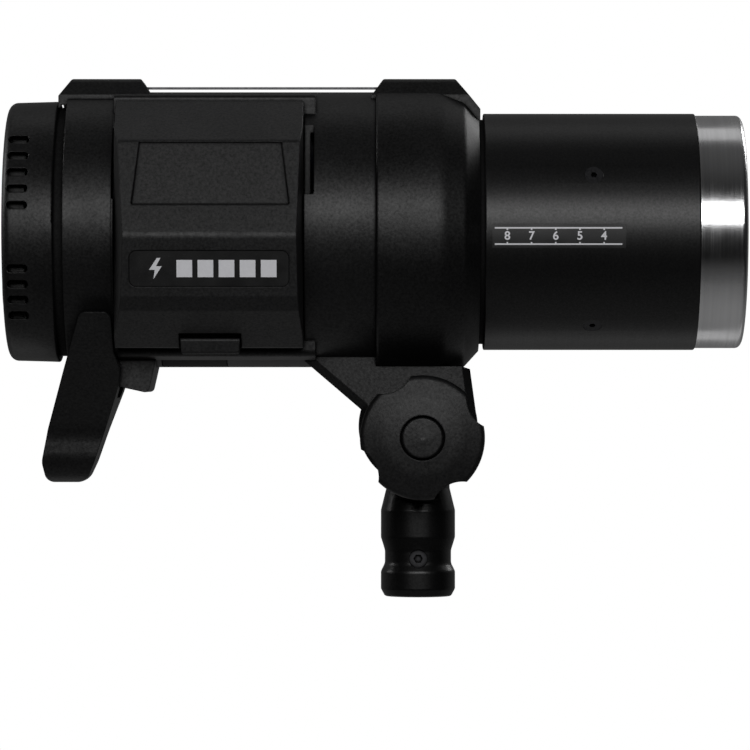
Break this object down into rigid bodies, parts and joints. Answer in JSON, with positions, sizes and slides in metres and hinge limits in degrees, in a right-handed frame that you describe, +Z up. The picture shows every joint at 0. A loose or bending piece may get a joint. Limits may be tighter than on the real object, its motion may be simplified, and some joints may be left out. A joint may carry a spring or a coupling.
{
  "type": "monolight strobe",
  "caption": "Battery monolight strobe with a glass-fronted flash tube, side battery, carrying handle and tilting stand adapter.",
  "frame": {"origin": "centre of the stand socket's mouth", "axes": "+Z up along the socket, +X the way the light leaves"},
  "size_m": [0.3121, 0.1393, 0.2182],
  "materials": {
    "casing_black": "fine textured moulding",
    "battery_black": "fine textured moulding",
    "belly_grey": "fine textured moulding",
    "rubber_black": "soft touch",
    "tube_black": "black anodised, satin",
    "ring_bright": "turned and polished",
    "reflector_bright": "bright",
    "heatsink_metal": "sawn and blasted",
    "black_metal": "satin black",
    "cast_black": "satin black paint on a casting",
    "screw_steel": "blackened",
    "bolt_steel": "plain",
    "contact_brass": "plain",
    "knob_black": "fine textured moulding",
    "key_grey": "satin",
    "panel_black": "satin",
    "window_clear": "clear",
    "glass_frosted": "frosted",
    "tube_glass": "clear",
    "display_dark": "glossy",
    "circuit_green": "lacquered board",
    "capacitor_blue": "shrink sleeve",
    "cell_wrap": "shrink sleeve",
    "led_yellow": "phosphor",
    "label_black": "smooth label",
    "scale_black": "printed label",
    "strap_grey": "dark spring strip"
  },
  "bodies": {
    "stand_adapter": {"stand_adapter": "black_metal", "grub_screw": "screw_steel", "friction_discs": "rubber_black"},
    "head": {"tilt_bracket": "cast_black", "clamp_nut": "bolt_steel", "rear_cap": "casing_black", "cap_spigot": "rubber_black", "rear_collar": "casing_black", "body_casing": "casing_black", "belly_panel": "belly_grey", "usb_socket": "bolt_steel", "sync_socket": "bolt_steel", "top_strap": "strap_grey", "front_collar": "casing_black", "neck_ring": "rubber_black", "front_tube": "tube_black", "scale_plate": "scale_black", "tube_screws": "screw_steel", "lamp_bulkhead": "heatsink_metal", "front_ring": "ring_bright", "front_glass": "glass_frosted", "reflector_dish": "reflector_bright", "flashtube": "tube_glass", "modelling_led": "led_yellow", "led_heatsink": "heatsink_metal", "flash_capacitors": "capacitor_blue", "main_board": "circuit_green", "charging_transformer": "panel_black", "body_contacts": "contact_brass", "fan_frame": "panel_black", "rear_panel": "panel_black", "rear_screws": "screw_steel", "display_window": "window_clear", "display_module": "display_dark", "control_board": "circuit_green", "carry_handle": "casing_black", "handle_mount": "casing_black", "handle_screws": "screw_steel"},
    "clamp_shoe": {"clamp_shoe": "contact_brass"},
    "lock_screw": {"lock_stem": "bolt_steel", "lock_knob": "knob_black"},
    "clamp_washer": {"pressure_washer": "bolt_steel"},
    "tilt_knob": {"tilt_knob": "knob_black", "tilt_bolt": "bolt_steel", "tilt_knob_cap": "knob_black"},
    "control_dial": {"control_dial": "key_grey"},
    "set_button": {"set_button": "key_grey"},
    "power_button": {"power_button": "key_grey"},
    "test_button": {"test_button": "key_grey"},
    "soft_key_right": {"soft_key_right": "key_grey"},
    "soft_key_left": {"soft_key_left": "key_grey"},
    "fan_rotor": {"fan_rotor": "panel_black"},
    "port_cover": {"port_cover": "rubber_black"},
    "battery": {"battery_case": "battery_black", "battery_base": "battery_black", "battery_contacts": "contact_brass", "battery_cells": "cell_wrap", "battery_board": "circuit_green", "battery_label": "label_black"},
    "battery_latch": {"battery_latch": "battery_black"}
  },
  "joints": [
    {"name": "head_tilt", "type": "hinge", "parent": "stand_adapter", "child": "head", "pos_m": [0.0015, 0, 0.0675], "axis": [0, 1, 0], "range_deg": [-60, 90]},
    {"name": "tilt_clamp_feed", "type": "slide", "parent": "head", "child": "clamp_washer", "axis": [0, -1, 0], "range_m": [0, 0.00125]},
    {"name": "tilt_knob_turn", "type": "hinge", "parent": "clamp_washer", "child": "tilt_knob", "pos_m": [0.0015, -0.034, 0.0675], "axis": [0, -1, 0], "range_deg": [0, 360]},
    {"name": "clamp_shoe_feed", "type": "slide", "parent": "stand_adapter", "child": "clamp_shoe", "axis": [0, -1, 0], "range_m": [0, 0.00125]},
    {"name": "lock_screw_turn", "type": "hinge", "parent": "clamp_shoe", "child": "lock_screw", "pos_m": [0, 0.02, 0.0162], "axis": [0, -1, 0], "range_deg": [0, 360]},
    {"name": "dial_turn", "type": "hinge", "parent": "head", "child": "control_dial", "pos_m": [-0.172, 0, 0.1337], "axis": [-1, 0, 0], "continuous": true},
    {"name": "set_press", "type": "slide", "parent": "control_dial", "child": "set_button", "axis": [1, 0, 0], "range_m": [0, 0.0012], "stiffness_N_per_m": 900, "springref_m": -0.001},
    {"name": "power_press", "type": "slide", "parent": "head", "child": "power_button", "axis": [1, 0, 0], "range_m": [0, 0.0012], "stiffness_N_per_m": 900, "springref_m": -0.001},
    {"name": "test_press", "type": "slide", "parent": "head", "child": "test_button", "axis": [1, 0, 0], "range_m": [0, 0.0012], "stiffness_N_per_m": 900, "springref_m": -0.001},
    {"name": "soft_key_right_press", "type": "slide", "parent": "head", "child": "soft_key_right", "axis": [1, 0, 0], "range_m": [0, 0.0012], "stiffness_N_per_m": 900, "springref_m": -0.001},
    {"name": "soft_key_left_press", "type": "slide", "parent": "head", "child": "soft_key_left", "axis": [1, 0, 0], "range_m": [0, 0.0012], "stiffness_N_per_m": 900, "springref_m": -0.001},
    {"name": "fan_spin", "type": "hinge", "parent": "head", "child": "fan_rotor", "pos_m": [-0.149, 0, 0.1542], "axis": [1, 0, 0], "continuous": true},
    {"name": "port_cover_open", "type": "hinge", "parent": "head", "child": "port_cover", "pos_m": [-0.0941, -0.005, 0.09772], "axis": [1, 0, 0], "range_deg": [0, 100]},
    {"name": "battery_slide", "type": "slide", "parent": "head", "child": "battery", "axis": [0, -1, 0], "range_m": [0, 0.06]},
    {"name": "latch_press", "type": "slide", "parent": "battery", "child": "battery_latch", "axis": [0, 0, 1], "range_m": [0, 0.0015], "stiffness_N_per_m": 900, "springref_m": -0.001}
  ],
  "couplings": [
    {"joint": "tilt_knob_turn", "follows": "tilt_clamp_feed", "rad_per_m": 5026.5},
    {"joint": "lock_screw_turn", "follows": "clamp_shoe_feed", "rad_per_m": 5026.5}
  ]
}
